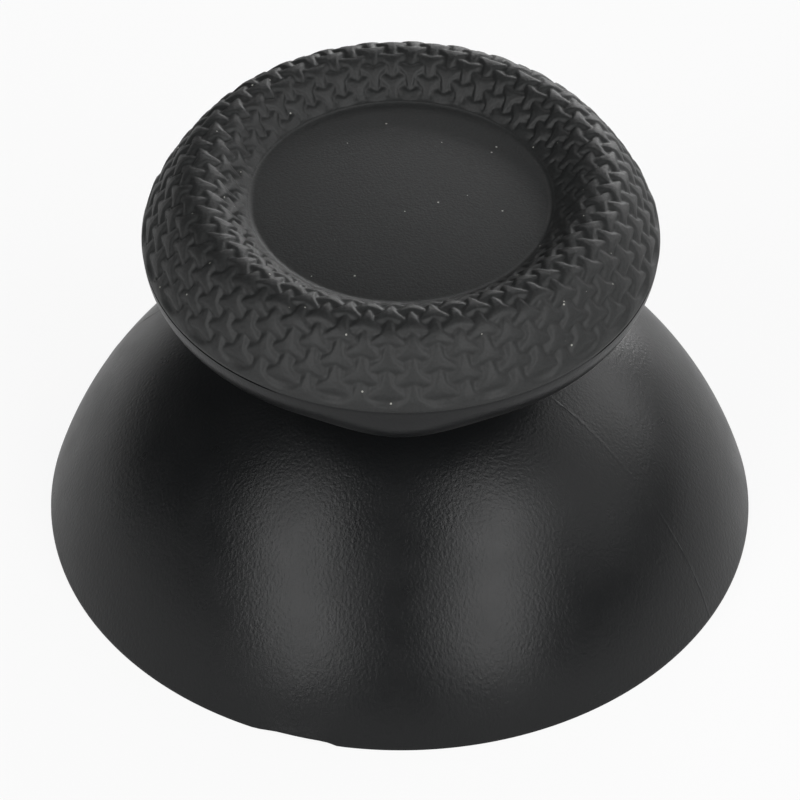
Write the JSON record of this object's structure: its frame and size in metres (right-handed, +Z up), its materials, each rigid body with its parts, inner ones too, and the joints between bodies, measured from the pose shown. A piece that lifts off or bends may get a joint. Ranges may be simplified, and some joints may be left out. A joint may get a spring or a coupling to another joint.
{
  "type": "thumbstick cap",
  "caption": "Thumbstick cap: spherical hard skirt and neck with a stem socket, under a soft grip ring with a star texture and a smooth pad.",
  "frame": {"origin": "middle of the skirt's rim, in the plane that the rim stands on", "axes": "+Z up the stick's axis, from the rim to the pad; the socket's flats face +Y and -Y"},
  "size_m": [0.025, 0.025, 0.0151],
  "materials": {
    "hard_plastic": "moulded black plastic with a fine leathery grain and a soft semi-gloss",
    "soft_rubber": "matte black soft-touch rubber, finely grained on the pad"
  },
  "bodies": {
    "root": {"stick_core": "hard_plastic", "grip_cover": "soft_rubber"}
  },
  "joints": []
}
